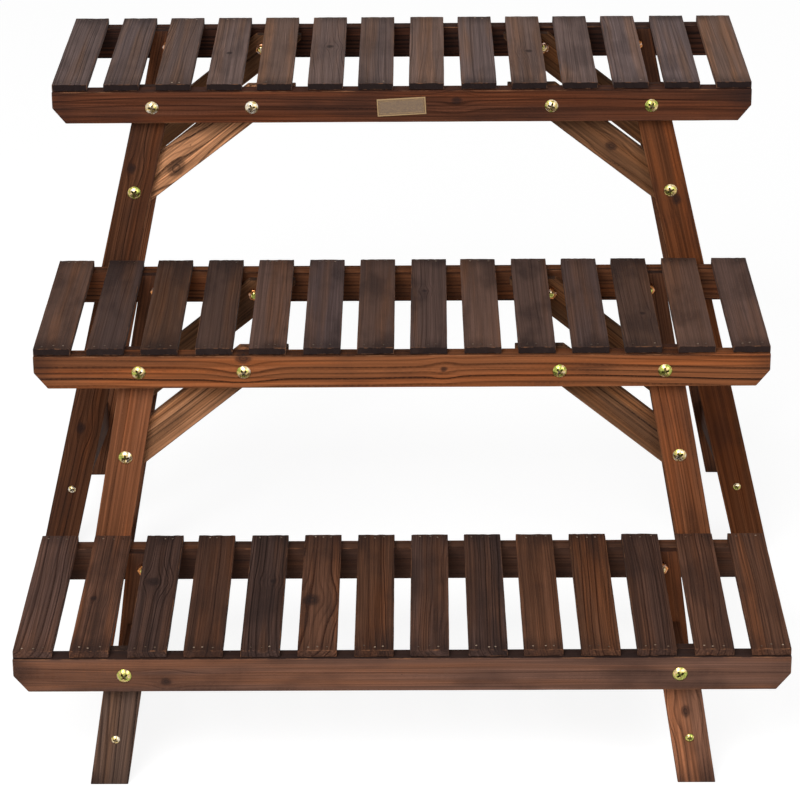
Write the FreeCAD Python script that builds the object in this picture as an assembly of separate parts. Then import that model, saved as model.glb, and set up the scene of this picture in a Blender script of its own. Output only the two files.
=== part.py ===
"""Stepped plant stand: three slatted wooden benches of one plan size and three heights, each bolted together.

Millimetres. X runs along the benches, Y from the front bench to the back one, Z up from the floor.
The origin is on the floor, midway between the end feet and midway between the front and back faces.
"""
import FreeCAD, Part
import math
import os

V = FreeCAD.Vector

# ---- driving dimensions -------------------------------------------------------------------------

RAIL_LENGTH = 700.0         # front and rear rails, and so the shelf
BENCH_DEPTH = 250.0         # over the outer faces of a bench's two rails
BENCH_GAP = 0.0             # level distance from one bench's rear face to the next one's front face
SHELF_HEIGHTS = {"bottom": 146.0, "middle": 339.0, "top": 524.0}

RAIL_THICK = 18.0
RAIL_HEIGHT = 33.0
RAIL_CORNER_X = 13.0        # lower corners of a rail are sawn off, this far along it
RAIL_CORNER_Z = 16.0        # and this far up it

SLAT_COUNT = 14
SLAT_WIDTH = 36.0
SLAT_THICK = 7.5
SLAT_SETBACK = 1.5          # slat ends stop this far inside the rails' outer faces

LEG_WIDTH = 34.5
LEG_THICK = 10.0
LEG_BOLT_INSET = 100.0      # from a rail's end to the leg's bolt
FRONT_SPLAY = {"bottom": 20.0, "middle": 58.5, "top": 119.5}        # from that bolt out to the foot's middle
REAR_SPLAY = {"bottom": 16.0, "middle": 57.5, "top": 106.0}

STRETCHER_WIDTH = 18.0
STRETCHER_HEIGHT = 33.0
STRETCHER_Z = {"bottom": 47.0, "middle": 60.0, "top": 74.0}         # its middle above the floor

BRACED_BENCHES = ("middle", "top")
BRACE_WIDTH = 34.0
BRACE_THICK = 10.0
BRACE_REACH = 100.0         # along the rail from the leg's bolt to a brace's upper bolt
BRACE_BOLT_DROP = 119.5     # from the shelf's top to the bolt that holds brace and leg together
BRACE_SAG = 2.5             # a brace's middle line lies this far below the line of its two bolts
BRACE_TOP_GAP = 2.0         # between a brace's level upper end and the slats
BRACE_TIP = 7.0             # the upper end's sharp tip is sawn off, this far along
BRACE_END_SETBACK = 2.0     # the lower end stops this far inside the leg's outer edge

BOLT_RADIUS = 3.0
BOLT_HEAD_RADIUS = 7.1
BOLT_HEAD_HEIGHT = 3.6
BOLT_HEAD_RIM = 0.7         # height of the head's plain edge, below its dome
BOLT_TIP_CHAMFER = 0.8
BOLT_RECESS_SPAN = 6.8
BOLT_RECESS_WIDTH = 1.6
BOLT_RECESS_DEPTH = 2.0
BOLT_HOLE_CLEARANCE = 0.25  # radial, in the wood
BOLT_END_PLAY = 2.0         # how far a bolt's end stands out of its nut

NUT_ACROSS_FLATS = 10.0
NUT_HEIGHT = 5.0
NUT_BORE_CLEARANCE = 0.05   # radial
NUT_CORNER_ANGLE = math.radians(30.0)   # slope of the cone that rounds a nut's outer corners

SCREW_RADIUS = 2.0
SCREW_LENGTH = 40.0         # below its head
SCREW_POINT = 5.0
SCREW_HEAD_RADIUS = 4.1
SCREW_HEAD_HEIGHT = 2.6
SCREW_HEAD_RIM = 0.5
SCREW_RECESS_SPAN = 4.4
SCREW_RECESS_WIDTH = 1.1
SCREW_RECESS_DEPTH = 1.4

NAIL_RADIUS = 0.7
NAIL_LENGTH = 20.0          # over all, driven flush with the slat's top
NAIL_HEAD_RADIUS = 1.2
NAIL_HEAD_HEIGHT = 0.5
NAIL_SPREAD = 9.0           # from a slat's middle line to its outer nails
NAIL_STAGGER = 2.0          # the middle nail is this much nearer the slat's end

PLATE_LENGTH = 49.0
PLATE_HEIGHT = 18.0
PLATE_THICK = 1.2
PLATE_BORDER = 2.2
PLATE_BORDER_RISE = 0.4     # how far the border stands above the plate's field
PLATE_CORNER = 0.6
PLATE_TILT = 3.0            # degrees out of level, its left end low

# ---- sizes that follow --------------------------------------------------------------------------

BENCHES = tuple(SHELF_HEIGHTS)
SIDES = {"left": -1.0, "right": 1.0}
FACES = ("front", "rear")
CORNERS = [(face, side) for face in FACES for side in SIDES]    # the four places of a bench's legs
STEP_BACK = BENCH_DEPTH + BENCH_GAP             # from one bench's front face to the next one's
STAND_DEPTH = BENCH_DEPTH + (len(BENCHES) - 1) * STEP_BACK
LEG_BOLT_X = RAIL_LENGTH / 2 - LEG_BOLT_INSET   # from a bench's middle to its legs' bolts
BRACE_BOLT_X = LEG_BOLT_X - BRACE_REACH         # and to its braces' upper bolts
BOLT_HOLE_RADIUS = BOLT_RADIUS + BOLT_HOLE_CLEARANCE
LEG_BACK = RAIL_THICK + LEG_THICK               # from a bench's outer face to its legs' inner faces
BRACE_BACK = LEG_BACK + BRACE_THICK             # and to its braces' inner faces
SLAT_LENGTH = BENCH_DEPTH - 2 * SLAT_SETBACK
SLAT_PITCH = (RAIL_LENGTH - SLAT_WIDTH) / (SLAT_COUNT - 1)
SPLAY = {"front": FRONT_SPLAY, "rear": REAR_SPLAY}


def front_face_y(bench):
    """Y of the outer face of a bench's front rail."""
    return -STAND_DEPTH / 2 + BENCHES.index(bench) * STEP_BACK


def depth_y(bench, face, depth):
    """Y of a point that lies depth inside the outer face of a bench's front or rear rail."""
    if face == "front":
        return front_face_y(bench) + depth
    return front_face_y(bench) + BENCH_DEPTH - depth


def inward(face):
    """Direction along Y from a rail's outer face to the bench's inside."""
    return 1.0 if face == "front" else -1.0


def shelf_underside(bench):
    return SHELF_HEIGHTS[bench] - SLAT_THICK


def bolt_z(bench):
    """Height of a bench's upper bolts, at the middle of its rails."""
    return shelf_underside(bench) - RAIL_HEIGHT / 2


def brace_bolt_z(bench):
    return SHELF_HEIGHTS[bench] - BRACE_BOLT_DROP


def leg_slope(bench, face):
    """Sideways travel of a leg's middle line for each millimetre that it comes down."""
    return SPLAY[face][bench] / bolt_z(bench)


def leg_x(bench, face, z):
    """Distance of a leg's middle line from the bench's middle at height z."""
    return LEG_BOLT_X + leg_slope(bench, face) * (bolt_z(bench) - z)


def leg_half_width(bench, face):
    """Half of a leg's width, measured level."""
    return LEG_WIDTH / 2 * math.hypot(1.0, leg_slope(bench, face))


def slat_centres():
    return [-RAIL_LENGTH / 2 + SLAT_WIDTH / 2 + i * SLAT_PITCH for i in range(SLAT_COUNT)]


# ---- solids -------------------------------------------------------------------------------------

def box(x0, x1, y0, y1, z0, z1):
    """Box between two planes along each axis, given in either order."""
    corner = V(min(x0, x1), min(y0, y1), min(z0, z1))
    return Part.makeBox(abs(x1 - x0), abs(y1 - y0), abs(z1 - z0), corner)


def board(outline, bench, face, near, far):
    """Flat board with an XZ outline, between two depths inside a bench's front or rear face."""
    y_near = depth_y(bench, face, near)
    points = [V(x, y_near, z) for x, z in outline]
    profile = Part.Face(Part.makePolygon(points + points[:1]))
    return profile.extrude(V(0, inward(face) * (far - near), 0))


def drill(solid, x, z, radius, bench, face, near, far):
    """The solid with a round hole along Y between two depths."""
    start = V(x, depth_y(bench, face, near), z)
    return solid.cut(Part.makeCylinder(radius, far - near, start, V(0, inward(face), 0)))


def nail_spots(bench):
    """Where the slats' nails stand: X, and Y of each nail, over both rails."""
    spots = []
    for centre in slat_centres():
        for face in FACES:
            row = depth_y(bench, face, RAIL_THICK / 2)
            end_row = row - inward(face) * NAIL_STAGGER
            spots.append((centre - NAIL_SPREAD, row))
            spots.append((centre, end_row))
            spots.append((centre + NAIL_SPREAD, row))
    return spots


def nail(x, y, top):
    """Round wire nail with a flat head, its top at the given height."""
    start = V(x, y, top)
    head = Part.makeCylinder(NAIL_HEAD_RADIUS, NAIL_HEAD_HEIGHT, start, V(0, 0, -1))
    shank = Part.makeCylinder(NAIL_RADIUS, NAIL_LENGTH, start, V(0, 0, -1))
    return head.fuse(shank).removeSplitter()


def nails(bench):
    return [nail(x, y, SHELF_HEIGHTS[bench]) for x, y in nail_spots(bench)]


def rail(bench, face):
    """Board on edge under the slat ends, with sawn lower corners, bolt holes and nail holes."""
    half = RAIL_LENGTH / 2
    top = shelf_underside(bench)
    low = top - RAIL_HEIGHT
    outline = [
        (-half, top),
        (-half, low + RAIL_CORNER_Z),
        (-half + RAIL_CORNER_X, low),
        (half - RAIL_CORNER_X, low),
        (half, low + RAIL_CORNER_Z),
        (half, top),
    ]
    solid = board(outline, bench, face, 0, RAIL_THICK)
    bolt_places = [LEG_BOLT_X, -LEG_BOLT_X]
    if bench in BRACED_BENCHES:
        bolt_places += [BRACE_BOLT_X, -BRACE_BOLT_X]
    for x in bolt_places:
        solid = drill(solid, x, bolt_z(bench), BOLT_HOLE_RADIUS, bench, face, 0, RAIL_THICK)
    low_y, high_y = sorted((depth_y(bench, face, 0), depth_y(bench, face, RAIL_THICK)))
    holes = [
        Part.makeCylinder(NAIL_RADIUS, NAIL_LENGTH, V(x, y, SHELF_HEIGHTS[bench]), V(0, 0, -1))
        for x, y in nail_spots(bench)
        if low_y < y < high_y
    ]
    return solid.cut(Part.makeCompound(holes))


def slats(bench):
    """The shelf's slats, each a separate solid with three nail holes at each end."""
    top = SHELF_HEIGHTS[bench]
    y0 = depth_y(bench, "front", SLAT_SETBACK)
    pieces = []
    for centre in slat_centres():
        x0 = centre - SLAT_WIDTH / 2
        x1 = centre + SLAT_WIDTH / 2
        piece = box(x0, x1, y0, y0 + SLAT_LENGTH, top - SLAT_THICK, top)
        own_nails = [nail(x, y, top) for x, y in nail_spots(bench) if x0 < x < x1]
        pieces.append(piece.cut(Part.makeCompound(own_nails)))
    return pieces


def leg(bench, face, side):
    """Leaning flat leg against a rail's inner face, cut level at the slats and at the floor."""
    sign = SIDES[side]
    top = shelf_underside(bench)
    half = leg_half_width(bench, face)
    outline = [
        (sign * (leg_x(bench, face, top) - half), top),
        (sign * (leg_x(bench, face, top) + half), top),
        (sign * (leg_x(bench, face, 0) + half), 0.0),
        (sign * (leg_x(bench, face, 0) - half), 0.0),
    ]
    solid = board(outline, bench, face, RAIL_THICK, LEG_BACK)
    hole_heights = {bolt_z(bench): BOLT_HOLE_RADIUS, STRETCHER_Z[bench]: SCREW_RADIUS}
    if bench in BRACED_BENCHES:
        hole_heights[brace_bolt_z(bench)] = BOLT_HOLE_RADIUS
    for z, radius in hole_heights.items():
        x = sign * leg_x(bench, face, z)
        solid = drill(solid, x, z, radius, bench, face, RAIL_THICK, LEG_BACK)
    return solid


def brace_line(bench, face):
    """A brace's upper bolt, its lower bolt and the unit vector from the lower to the upper, in XZ."""
    upper = V(BRACE_BOLT_X, 0, bolt_z(bench))
    z = brace_bolt_z(bench)
    lower = V(leg_x(bench, face, z), 0, z)
    along = upper - lower
    along.normalize()
    return upper, lower, along


def brace(bench, face, side):
    """Diagonal from the rail down to the back of a leg: level at the top, cut along the leg below."""
    upper, lower, along = brace_line(bench, face)
    square = V(along.z, 0, -along.x)                # across the brace, on its outer upper side
    top = shelf_underside(bench) - BRACE_TOP_GAP
    slope = leg_slope(bench, face)
    stop = leg_half_width(bench, face) - BRACE_END_SETBACK

    def edge_start(offset):
        return lower + square * offset

    def at_height(offset, z):
        start = edge_start(offset)
        return start + along * ((z - start.z) / along.z)

    def at_leg(offset):
        """Where an edge meets the line of the lower cut, which runs along the leg's outer edge."""
        start = edge_start(offset)
        room = leg_x(bench, face, start.z) + stop - start.x
        return start + along * (room / (along.x + slope * along.z))

    outer_edge = BRACE_WIDTH / 2 - BRACE_SAG
    inner_edge = -BRACE_WIDTH / 2 - BRACE_SAG
    tip = at_height(inner_edge, top)
    corners = [
        at_height(outer_edge, top),
        tip + V(BRACE_TIP, 0, 0),
        tip + along * (BRACE_TIP / along.x),
        at_leg(inner_edge),
        at_leg(outer_edge),
    ]
    sign = SIDES[side]
    solid = board([(sign * p.x, p.z) for p in corners], bench, face, LEG_BACK, BRACE_BACK)
    for bolt in (upper, lower):
        solid = drill(solid, sign * bolt.x, bolt.z, BOLT_HOLE_RADIUS, bench, face, LEG_BACK, BRACE_BACK)
    return solid


def stretcher(bench, side):
    """Low rail from a front leg to the rear leg behind it, its ends cut to lie flat on both."""
    sign = SIDES[side]
    z = STRETCHER_Z[bench]
    half = STRETCHER_WIDTH / 2
    y_front = depth_y(bench, "front", LEG_BACK)
    y_rear = depth_y(bench, "rear", LEG_BACK)
    x_front = sign * leg_x(bench, "front", z)
    x_rear = sign * leg_x(bench, "rear", z)
    low = z - STRETCHER_HEIGHT / 2
    points = [
        V(x_front - half, y_front, low),
        V(x_front + half, y_front, low),
        V(x_rear + half, y_rear, low),
        V(x_rear - half, y_rear, low),
    ]
    plan = Part.Face(Part.makePolygon(points + points[:1]))
    solid = plan.extrude(V(0, 0, STRETCHER_HEIGHT))
    for face in FACES:
        solid = solid.cut(screw_shank(sign * leg_x(bench, face, z), z, bench, face))
    return solid


def screw_shank(x, z, bench, face):
    """A stretcher screw below its head: round, with a cone point."""
    start = V(x, depth_y(bench, face, RAIL_THICK), z)
    plain = SCREW_LENGTH - SCREW_POINT
    direction = V(0, inward(face), 0)
    body = Part.makeCylinder(SCREW_RADIUS, plain, start, direction)
    point = Part.makeCone(SCREW_RADIUS, 0, SCREW_POINT, start + direction * plain, direction)
    return body.fuse(point)


def domed_head(radius, height, rim, recess_span, recess_width, recess_depth):
    """Round domed head standing on the XY plane at the origin, with a cross recess in its top."""
    foot = V(0, 0, 0)
    edge_low = V(radius, 0, 0)
    edge_high = V(radius, 0, rim)
    crown = V(0, 0, height)
    dome_radius = (radius ** 2 + (height - rim) ** 2) / (2 * (height - rim))
    half_turn = math.asin(radius / dome_radius) / 2
    middle_z = height - dome_radius * (1 - math.cos(half_turn))
    middle = V(dome_radius * math.sin(half_turn), 0, middle_z)
    edges = [
        Part.makeLine(foot, edge_low),
        Part.makeLine(edge_low, edge_high),
        Part.Arc(edge_high, middle, crown).toShape(),
        Part.makeLine(crown, foot),
    ]
    head = Part.Face(Part.Wire(edges)).revolve(V(0, 0, 0), V(0, 0, 1), 360)
    floor = height - recess_depth
    across = recess_span / 2
    half = recess_width / 2
    for x, y in ((across, half), (half, across)):
        head = head.cut(box(-x, x, -y, y, floor, height))
    return head


def place(solid, x, z, bench, face, depth):
    """Turn a fastener that stands on Z so that it points out of a bench's face, at this depth."""
    position = V(x, depth_y(bench, face, depth), z)
    outward = FreeCAD.Rotation(V(0, 0, 1), V(0, -inward(face), 0))
    placed = solid.copy()
    placed.Placement = FreeCAD.Placement(position, outward)
    return placed


def bolt(length):
    """Bolt with its head's underside on the XY plane and its shank down the -Z axis."""
    recess = (BOLT_RECESS_SPAN, BOLT_RECESS_WIDTH, BOLT_RECESS_DEPTH)
    head = domed_head(BOLT_HEAD_RADIUS, BOLT_HEAD_HEIGHT, BOLT_HEAD_RIM, *recess)
    plain = length - BOLT_TIP_CHAMFER
    tip_radius = BOLT_RADIUS - BOLT_TIP_CHAMFER
    shank = Part.makeCylinder(BOLT_RADIUS, plain, V(0, 0, 0), V(0, 0, -1))
    tip = Part.makeCone(BOLT_RADIUS, tip_radius, BOLT_TIP_CHAMFER, V(0, 0, -plain), V(0, 0, -1))
    return head.fuse([shank, tip]).removeSplitter()


def nut():
    """Hexagon nut on the -Z side of the XY plane, where it bears."""
    corner_radius = NUT_ACROSS_FLATS / 2 / math.cos(math.pi / 6)
    points = [
        V(corner_radius * math.cos(i * math.pi / 3), corner_radius * math.sin(i * math.pi / 3), 0)
        for i in range(6)
    ]
    block = Part.Face(Part.makePolygon(points + points[:1])).extrude(V(0, 0, -NUT_HEIGHT))
    flat_radius = NUT_ACROSS_FLATS / 2
    wide_radius = flat_radius + NUT_HEIGHT / math.tan(NUT_CORNER_ANGLE)
    rounding = Part.makeCone(wide_radius, flat_radius, NUT_HEIGHT, V(0, 0, 0), V(0, 0, -1))
    bore = Part.makeCylinder(BOLT_RADIUS + NUT_BORE_CLEARANCE, NUT_HEIGHT, V(0, 0, 0), V(0, 0, -1))
    return block.common(rounding).cut(bore)


def screw():
    """Stretcher screw with its head's underside on the XY plane and its point down the -Z axis."""
    recess = (SCREW_RECESS_SPAN, SCREW_RECESS_WIDTH, SCREW_RECESS_DEPTH)
    head = domed_head(SCREW_HEAD_RADIUS, SCREW_HEAD_HEIGHT, SCREW_HEAD_RIM, *recess)
    plain = SCREW_LENGTH - SCREW_POINT
    body = Part.makeCylinder(SCREW_RADIUS, plain, V(0, 0, 0), V(0, 0, -1))
    point = Part.makeCone(SCREW_RADIUS, 0, SCREW_POINT, V(0, 0, -plain), V(0, 0, -1))
    return head.fuse([body, point]).removeSplitter()


def leg_bolts(bench):
    """Through the rail and the leg, heads outside."""
    piece = bolt(LEG_BACK + NUT_HEIGHT + BOLT_END_PLAY)
    z = bolt_z(bench)
    return [place(piece, SIDES[side] * LEG_BOLT_X, z, bench, face, 0) for face, side in CORNERS]


def rail_brace_bolts(bench):
    """Through the rail and the brace, which stand as far apart as a leg is thick."""
    piece = bolt(BRACE_BACK + NUT_HEIGHT + BOLT_END_PLAY)
    z = bolt_z(bench)
    return [place(piece, SIDES[side] * BRACE_BOLT_X, z, bench, face, 0) for face, side in CORNERS]


def leg_brace_bolts(bench):
    """Through the leg and the brace behind it, heads on the leg's outer face."""
    piece = bolt(LEG_THICK + BRACE_THICK + NUT_HEIGHT + BOLT_END_PLAY)
    z = brace_bolt_z(bench)
    return [
        place(piece, SIDES[side] * leg_x(bench, face, z), z, bench, face, RAIL_THICK)
        for face, side in CORNERS
    ]


def nuts(bench):
    """One nut on the inner end of every bolt of a bench."""
    piece = nut()
    pieces = []
    for face, side in CORNERS:
        sign = SIDES[side]
        pieces.append(place(piece, sign * LEG_BOLT_X, bolt_z(bench), bench, face, LEG_BACK))
        if bench in BRACED_BENCHES:
            z = brace_bolt_z(bench)
            pieces.append(place(piece, sign * BRACE_BOLT_X, bolt_z(bench), bench, face, BRACE_BACK))
            pieces.append(place(piece, sign * leg_x(bench, face, z), z, bench, face, BRACE_BACK))
    return pieces


def stretcher_screws(bench):
    """One screw through each leg into the end of a stretcher."""
    piece = screw()
    z = STRETCHER_Z[bench]
    return [
        place(piece, SIDES[side] * leg_x(bench, face, z), z, bench, face, RAIL_THICK)
        for face, side in CORNERS
    ]


def name_plate():
    """Thin plain plate with a raised border, in the middle of the top bench's front rail."""
    half = PLATE_LENGTH / 2
    tall = PLATE_HEIGHT / 2
    blank = box(-half, half, -PLATE_THICK, 0, -tall, tall)
    across = [edge for edge in blank.Edges if abs(edge.tangentAt(edge.FirstParameter).y) > 0.5]
    blank = blank.makeFillet(PLATE_CORNER, across)
    inner_half = half - PLATE_BORDER
    inner_tall = tall - PLATE_BORDER
    floor = PLATE_BORDER_RISE - PLATE_THICK
    plate = blank.cut(box(-inner_half, inner_half, -PLATE_THICK, floor, -inner_tall, inner_tall))
    position = V(0, front_face_y("top"), bolt_z("top"))
    plate.Placement = FreeCAD.Placement(position, FreeCAD.Rotation(V(0, -1, 0), PLATE_TILT))
    return plate


# ---- the stand ----------------------------------------------------------------------------------

def bench_nodes(bench):
    """Every node of one bench, by name."""
    nodes = {bench + "_slats": slats(bench)}
    for face in FACES:
        nodes["%s_%s_rail" % (bench, face)] = [rail(bench, face)]
        for side in SIDES:
            nodes["%s_%s_%s_leg" % (bench, face, side)] = [leg(bench, face, side)]
            if bench in BRACED_BENCHES:
                nodes["%s_%s_%s_brace" % (bench, face, side)] = [brace(bench, face, side)]
    for side in SIDES:
        nodes["%s_%s_stretcher" % (bench, side)] = [stretcher(bench, side)]
    nodes[bench + "_leg_bolts"] = leg_bolts(bench)
    if bench in BRACED_BENCHES:
        nodes[bench + "_rail_brace_bolts"] = rail_brace_bolts(bench)
        nodes[bench + "_leg_brace_bolts"] = leg_brace_bolts(bench)
    nodes[bench + "_nuts"] = nuts(bench)
    nodes[bench + "_stretcher_screws"] = stretcher_screws(bench)
    nodes[bench + "_slat_nails"] = nails(bench)
    return nodes


def build():
    os.makedirs("parts", exist_ok=True)
    nodes = {"name_plate": [name_plate()]}
    for bench in BENCHES:
        nodes.update(bench_nodes(bench))
    for name, solids in nodes.items():
        shape = solids[0] if len(solids) == 1 else Part.makeCompound(solids)
        shape.exportStep("parts/%s.step" % name)
    print("%d nodes, %d solids" % (len(nodes), sum(len(solids) for solids in nodes.values())))


build()
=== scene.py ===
"""Dresses a stepped plant stand of three slatted benches: carbonised fir, yellow zinc fasteners, a brass plate.

Metres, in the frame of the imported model: X along the benches, Y from the low front bench to the tall back one, Z up.
"""
import functools
import math
import random

import bmesh
import bpy
from mathutils import Euler, Matrix, Vector, geometry, noise


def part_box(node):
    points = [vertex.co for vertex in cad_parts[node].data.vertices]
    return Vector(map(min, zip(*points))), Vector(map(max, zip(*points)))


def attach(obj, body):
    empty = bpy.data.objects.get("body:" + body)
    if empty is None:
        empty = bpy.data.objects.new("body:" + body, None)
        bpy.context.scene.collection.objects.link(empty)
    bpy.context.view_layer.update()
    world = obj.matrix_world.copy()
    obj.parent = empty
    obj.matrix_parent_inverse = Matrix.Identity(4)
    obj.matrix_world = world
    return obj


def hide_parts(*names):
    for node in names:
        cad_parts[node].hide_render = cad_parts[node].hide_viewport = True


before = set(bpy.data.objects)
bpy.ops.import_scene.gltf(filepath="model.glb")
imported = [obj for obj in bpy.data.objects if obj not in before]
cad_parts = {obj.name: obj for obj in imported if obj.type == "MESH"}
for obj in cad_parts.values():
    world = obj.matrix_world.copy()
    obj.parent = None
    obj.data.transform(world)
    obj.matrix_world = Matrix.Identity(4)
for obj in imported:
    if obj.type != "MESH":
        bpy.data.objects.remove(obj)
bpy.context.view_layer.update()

bl_info = {
    "name": "Slatted plant stand",
    "version": (1, 0, 0),
    "blender": (4, 5, 0),
    "location": "3D View > Sidebar > Plant stand",
    "description": "Carbonised fir boards, zinc plated fasteners and a brass plate for a stepped plant stand",
    "category": "Object",
}

MM = 0.001
BODY = "root"
BENCHES = ("bottom", "middle", "top")
BRACED_BENCHES = ("middle", "top")
FACES = ("front", "rear")
SIDES = ("left", "right")
CORNERS = ((-1, -1), (1, -1), (1, 1), (-1, 1))
SLATS_PER_BENCH = 14
SLAT_WIDTH = 0.036


# ---- settings --------------------

def srgb(code):
    """Linear red, green and blue of an sRGB hex code."""
    channels = [int(code[i:i + 2], 16) / 255 for i in (0, 2, 4)]
    return [c / 12.92 if c <= 0.04045 else ((c + 0.055) / 1.055) ** 2.4 for c in channels]


def colour(name, description, code):
    """A colour setting with an sRGB hex code as its default."""
    return bpy.props.FloatVectorProperty(
        name=name, description=description, subtype="COLOR", size=3, min=0, max=1, default=srgb(code)
    )


def number(name, description, default, unit="NONE"):
    """A setting that is one number."""
    return bpy.props.FloatProperty(name=name, description=description, unit=unit, default=default)


def length(name, description, millimetres):
    """A length setting with its default in millimetres."""
    return number(name, description, millimetres * MM, "LENGTH")


class BoardSettings(bpy.types.PropertyGroup):
    """How the boards were sawn, brushed and nailed down."""

    worn_edge: length("Worn edge", "Radius of a board's brushed edges", 0.9)
    planing: length("Planing depth", "Deepest hollow that brushing left in a face", 0.3)
    slat_planing: length("Slat planing depth", "Deepest hollow in a slat's rougher faces", 0.55)
    ragged_end: length("Ragged ends", "Deepest bite that the saw tore out of a slat's end", 1.1)
    station: length("Station", "Distance between a board's cross sections", 14.0)
    slat_turn: number("Slat turn", "Most that a slat lies out of square", math.radians(0.35), "ROTATION")
    slat_drift: length("Slat drift", "Most that a slat lies out of its even place", 0.8)
    nail_drift: length("Nail drift", "Most that a nail lies out of its even place", 2.0)
    seed: bpy.props.IntProperty(name="Seed", description="Picks the grain, tone and knots of the boards", default=7)


class WoodSettings(bpy.types.PropertyGroup):
    """Colours of the carbonised fir."""

    # painted sheen: the slat colours carry the grey veil of reflected light on the slats, greyest on the top bench
    top_slat: colour("Top slats", "Early wood of the top bench's slats", "76615a")
    middle_slat: colour("Middle slats", "Early wood of the middle bench's slats", "5f4a43")
    bottom_slat: colour("Bottom slats", "Early wood of the bottom bench's slats", "5b4034")
    top_rail: colour("Top rails", "Early wood of the top bench's rails", "583424")
    middle_rail: colour("Middle rails", "Early wood of the middle bench's rails", "865233")
    bottom_rail: colour("Bottom rails", "Early wood of the bottom bench's rails", "6a4c3f")
    leg: colour("Legs", "Early wood of the legs and stretchers", "69422d")
    brace: colour("Braces", "Early wood of the braces", "9f704f")
    late: colour("Late wood", "Dark lines between the years' growth", "25130c")
    soot: colour("Soot", "What the flame left on the surface", "251c1b")
    worn: colour("Worn edge", "Wood laid bare on rubbed edges", "9b6a4a")


class MetalSettings(bpy.types.PropertyGroup):
    """Sizes and colours of the fasteners and the plate."""

    zinc_gold: colour("Zinc, gold", "Main colour of the yellow plating", "dcbd78")
    zinc_green: colour("Zinc, green", "Where the plating is thicker", "b2b85c")
    zinc_rose: colour("Zinc, rose", "Where the plating is thinner", "dda084")
    # painted reflection: this warm tint of the nuts stands for the brown wood that they reflect in the shade
    nut_painted_reflection: colour("Zinc, nuts", "Thin warm plating of the nuts", "c98650")
    nail: colour("Nail heads", "Bright wire", "bda68e")
    brass: colour("Plate", "Aged brass", "ab8e68")
    brass_low: colour("Plate's field", "Dulled brass inside the border", "6c5c53")
    thread_pitch: length("Thread pitch", "Rise of one turn of a bolt's thread", 1.0)
    head_radius: length("Bolt head radius", "Radius of a bolt's round head", 6.6)
    head_height: length("Bolt head height", "Height of a bolt's round head", 3.6)
    screw_head_radius: length("Screw head radius", "Radius of a stretcher screw's head", 4.1)
    screw_head_height: length("Screw head height", "Height of a stretcher screw's head", 2.6)
    nail_head_radius: length("Nail head radius", "Radius of a nail's head", 0.9)
    plate_border: length("Plate border", "Width of the plate's raised border", 2.2)


class StageSettings(bpy.types.PropertyGroup):
    """Camera, floor and lamps."""

    camera_place: bpy.props.FloatVectorProperty(
        name="Camera place", description="Where the camera stands", unit="LENGTH", default=(0.0187, -2.8811, 1.4276)
    )
    camera_turn: bpy.props.FloatVectorProperty(
        name="Camera turn", description="Camera's turn about X, Y and Z", subtype="EULER",
        default=(math.radians(67.496), math.radians(0.377), math.radians(0.269))
    )
    lens: number("Lens", "Focal length in millimetres", 140.87)
    floor: colour("Floor", "Pale studio floor", "e8e8e8")
    sky: number("Sky", "Strength of the even light", 0.24)
    key: number("Key lamp", "Power of the lamp over the front", 105, "POWER")
    fill: number("Fill lamp", "Power of the lamp at the side", 26, "POWER")


class StandSettings(bpy.types.PropertyGroup):
    """Everything that the panel shows."""

    board: bpy.props.PointerProperty(type=BoardSettings, name="Boards", description="Shape of the boards")
    wood: bpy.props.PointerProperty(type=WoodSettings, name="Wood", description="Colours of the wood")
    metal: bpy.props.PointerProperty(type=MetalSettings, name="Metal", description="Fasteners and plate")
    stage: bpy.props.PointerProperty(type=StageSettings, name="Stage", description="Camera, floor and lamps")


# ---- nodes --------------------

NOISE = "ShaderNodeTexNoise"
RANGE = "ShaderNodeMapRange"
ATTRIBUTE = "ShaderNodeAttribute"
SEPARATE = "ShaderNodeSeparateXYZ"
COMBINE = "ShaderNodeCombineXYZ"
VECTOR = "ShaderNodeVectorMath"
WHITE = (1.0, 1.0, 1.0, 1.0)

# kinds of node that come with a setting
SCALE = ("ShaderNodeVectorMath", {"operation": "SCALE"})
LENGTH = ("ShaderNodeVectorMath", {"operation": "LENGTH"})
LINE_NOISE = ("ShaderNodeTexNoise", {"noise_dimensions": "1D"})
DICE = ("ShaderNodeTexWhiteNoise", {"noise_dimensions": "1D"})
SMOOTH = ("ShaderNodeMapRange", {"interpolation_type": "SMOOTHSTEP"})
MIX = ("ShaderNodeMix", {"data_type": "RGBA"})
ABSOLUTE, ADD, DIVIDE, EXPONENT, FLOOR, FRACT, MAXIMUM, MINIMUM, MULTIPLY, MULTIPLY_ADD, SIGN, SUBTRACT = (
    ("ShaderNodeMath", {"operation": name}) for name in (
        "ABSOLUTE", "ADD", "DIVIDE", "EXPONENT", "FLOOR", "FRACT", "MAXIMUM", "MINIMUM", "MULTIPLY", "MULTIPLY_ADD",
        "SIGN", "SUBTRACT")
)


def plug(node, *inputs):
    """Gives a node its inputs, in the order in which it shows them, or as a dict by name.

    An input is a value, a socket, or a node that stands for the first output that it shows.
    """
    if inputs and isinstance(inputs[0], dict):
        pairs = [(node.inputs[name], value) for name, value in inputs[0].items()]
    else:
        pairs = zip([socket for socket in node.inputs if socket.enabled], inputs)
    for socket, value in pairs:
        if isinstance(value, bpy.types.Node):
            value = next(output for output in value.outputs if output.enabled)
        if isinstance(value, bpy.types.NodeSocket):
            node.id_data.links.new(value, socket)
        else:
            socket.default_value = value
    return node


def add_node(tree, kind, *inputs, **settings):
    """Adds a node of a type, or of a kind that names its type and a setting, with its settings and inputs."""
    if isinstance(kind, tuple):
        kind, settings = kind
    node = tree.nodes.new(kind)
    for key, value in settings.items():
        setattr(node, key, value)
    return plug(node, *inputs)


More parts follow.
